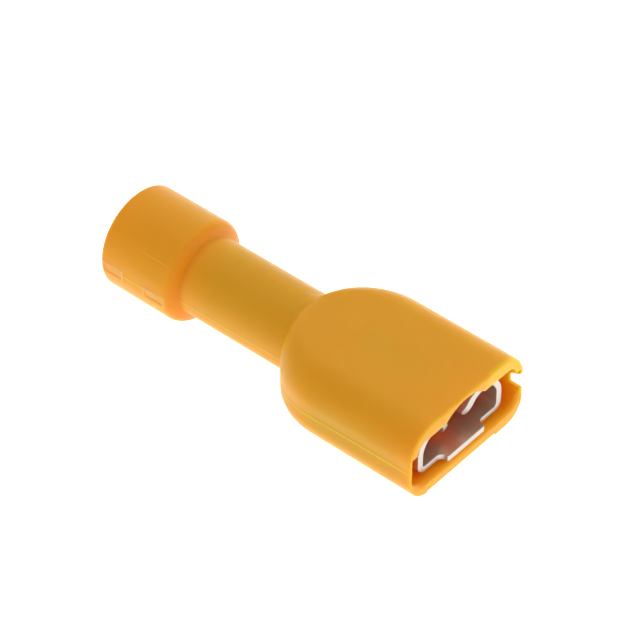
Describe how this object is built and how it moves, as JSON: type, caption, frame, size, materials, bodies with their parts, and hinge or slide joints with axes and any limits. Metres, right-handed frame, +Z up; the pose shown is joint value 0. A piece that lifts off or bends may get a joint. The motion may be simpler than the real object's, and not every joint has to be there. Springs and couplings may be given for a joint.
{
  "type": "insulated female spade terminal",
  "caption": "Fully insulated push-on female spade terminal: rolled tab receptacle and crimp barrel inside a yellow moulded sleeve with a wire bell.",
  "frame": {"origin": "on the wire axis, in the plane of the mouth where the tab enters", "axes": "+X out of the mouth towards the mating tab, the wire leaves towards -X; +Y across the tab; +Z up from the tab floor to the rolled lobes"},
  "size_m": [0.0255, 0.0102, 0.0068],
  "materials": {
    "sleeve_plastic": "satin moulded, yellow",
    "tinned_brass": "bright tin plating with fine rolling lines"
  },
  "bodies": {
    "root": {"insulating_sleeve": "sleeve_plastic", "receptacle_contact": "tinned_brass"}
  },
  "joints": []
}
